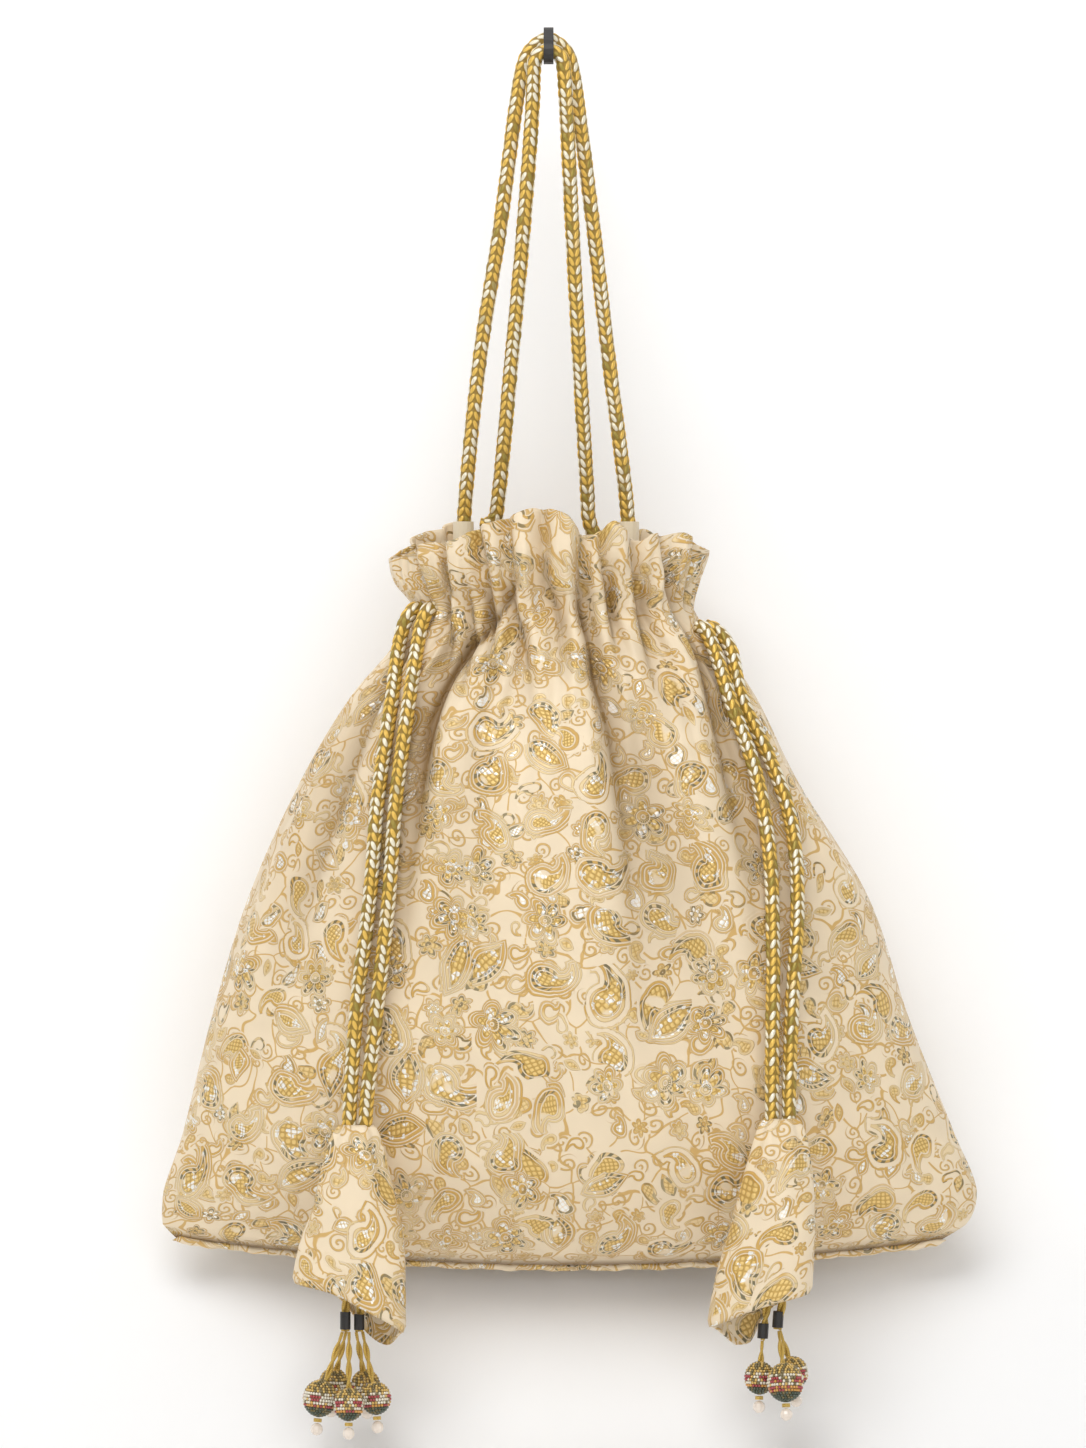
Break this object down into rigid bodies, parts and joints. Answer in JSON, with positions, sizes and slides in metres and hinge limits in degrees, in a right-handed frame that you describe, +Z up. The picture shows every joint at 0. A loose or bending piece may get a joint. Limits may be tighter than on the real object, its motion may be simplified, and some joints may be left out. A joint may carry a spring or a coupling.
{
  "type": "potli bag",
  "caption": "Gathered brocade drawstring pouch with a doubled cord handle and two drawcords that end in folded cloth bells with beaded drops.",
  "frame": {"origin": "underside of the handle's bend, where the bag hangs", "axes": "+X to the right as seen from the front, front faces -Y, +Z up"},
  "size_m": [0.2631, 0.1113, 0.4498],
  "materials": {
    "brocade": "satin brocade with gold and silver weave",
    "lining_satin": "plain satin",
    "braided_cord": "metallic braid in gold, white and olive",
    "gold_thread": "twisted metallic thread",
    "seed_beads": "netted seed beads in bands of colour",
    "pearl": "pearly",
    "black_sleeve": "shrunk sleeve"
  },
  "bodies": {
    "bag": {"outer_bag": "brocade", "lining": "lining_satin", "channel_facing": "lining_satin", "bottom_piping": "brocade", "handle_cord_outer": "braided_cord", "handle_cord_inner": "braided_cord", "handle_band": "black_sleeve", "handle_tab_left": "brocade", "handle_tab_right": "brocade", "left_drawcord_loop": "braided_cord", "right_drawcord_loop": "braided_cord"},
    "left_tassel": {"left_drawcord_outer": "braided_cord", "left_drawcord_inner": "braided_cord", "left_bell": "brocade", "left_stem_1": "gold_thread", "left_stem_2": "gold_thread", "left_binding_1": "black_sleeve", "left_binding_2": "black_sleeve"},
    "left_drop_1": {"left_drop_1_thread": "gold_thread", "left_drop_1_ball": "seed_beads", "left_drop_1_cap": "gold_thread", "left_drop_1_pearl": "pearl"},
    "left_drop_2": {"left_drop_2_thread": "gold_thread", "left_drop_2_ball": "seed_beads", "left_drop_2_cap": "gold_thread", "left_drop_2_pearl": "pearl"},
    "left_drop_3": {"left_drop_3_thread": "gold_thread", "left_drop_3_ball": "seed_beads", "left_drop_3_cap": "gold_thread", "left_drop_3_pearl": "pearl"},
    "left_drop_4": {"left_drop_4_thread": "gold_thread", "left_drop_4_ball": "seed_beads", "left_drop_4_cap": "gold_thread", "left_drop_4_pearl": "pearl"},
    "left_drop_5": {"left_drop_5_thread": "gold_thread", "left_drop_5_ball": "seed_beads", "left_drop_5_cap": "gold_thread", "left_drop_5_pearl": "pearl"},
    "right_tassel": {"right_drawcord_outer": "braided_cord", "right_drawcord_inner": "braided_cord", "right_bell": "brocade", "right_stem_1": "gold_thread", "right_stem_2": "gold_thread", "right_binding_1": "black_sleeve", "right_binding_2": "black_sleeve"},
    "right_drop_1": {"right_drop_1_thread": "gold_thread", "right_drop_1_ball": "seed_beads", "right_drop_1_cap": "gold_thread", "right_drop_1_pearl": "pearl"},
    "right_drop_2": {"right_drop_2_thread": "gold_thread", "right_drop_2_ball": "seed_beads", "right_drop_2_cap": "gold_thread", "right_drop_2_pearl": "pearl"},
    "right_drop_3": {"right_drop_3_thread": "gold_thread", "right_drop_3_ball": "seed_beads", "right_drop_3_cap": "gold_thread", "right_drop_3_pearl": "pearl"}
  },
  "joints": [
    {"name": "left_tassel_swing", "type": "hinge", "parent": "bag", "child": "left_tassel", "pos_m": [-0.03893, -0.00877, -0.1775], "axis": [-1, 0, 0], "range_deg": [0, 45]},
    {"name": "left_drop_1_swing", "type": "hinge", "parent": "left_tassel", "child": "left_drop_1", "pos_m": [-0.0645, -0.0508, -0.4066], "axis": [0, 1, 0], "range_deg": [0, 35]},
    {"name": "left_drop_2_swing", "type": "hinge", "parent": "left_tassel", "child": "left_drop_2", "pos_m": [-0.0624, -0.0511, -0.4066], "axis": [-1, 0, 0], "range_deg": [0, 40]},
    {"name": "left_drop_3_swing", "type": "hinge", "parent": "left_tassel", "child": "left_drop_3", "pos_m": [-0.0582, -0.0488, -0.4067], "axis": [0, -1, 0], "range_deg": [0, 35]},
    {"name": "left_drop_4_swing", "type": "hinge", "parent": "left_tassel", "child": "left_drop_4", "pos_m": [-0.0634, -0.049, -0.4066], "axis": [1, 0, 0], "range_deg": [0, 35]},
    {"name": "left_drop_5_swing", "type": "hinge", "parent": "left_tassel", "child": "left_drop_5", "pos_m": [-0.0602, -0.0499, -0.4067], "axis": [1, 0, 0], "range_deg": [0, 35]},
    {"name": "right_tassel_swing", "type": "hinge", "parent": "bag", "child": "right_tassel", "pos_m": [0.04936, -0.00551, -0.1835], "axis": [-1, 0, 0], "range_deg": [0, 45]},
    {"name": "right_drop_1_swing", "type": "hinge", "parent": "right_tassel", "child": "right_drop_1", "pos_m": [0.0678, -0.0509, -0.4093], "axis": [0, 1, 0], "range_deg": [0, 35]},
    {"name": "right_drop_2_swing", "type": "hinge", "parent": "right_tassel", "child": "right_drop_2", "pos_m": [0.073, -0.0512, -0.4063], "axis": [-1, 0, 0], "range_deg": [0, 40]},
    {"name": "right_drop_3_swing", "type": "hinge", "parent": "right_tassel", "child": "right_drop_3", "pos_m": [0.0734, -0.0489, -0.4063], "axis": [0, -1, 0], "range_deg": [0, 35]}
  ]
}
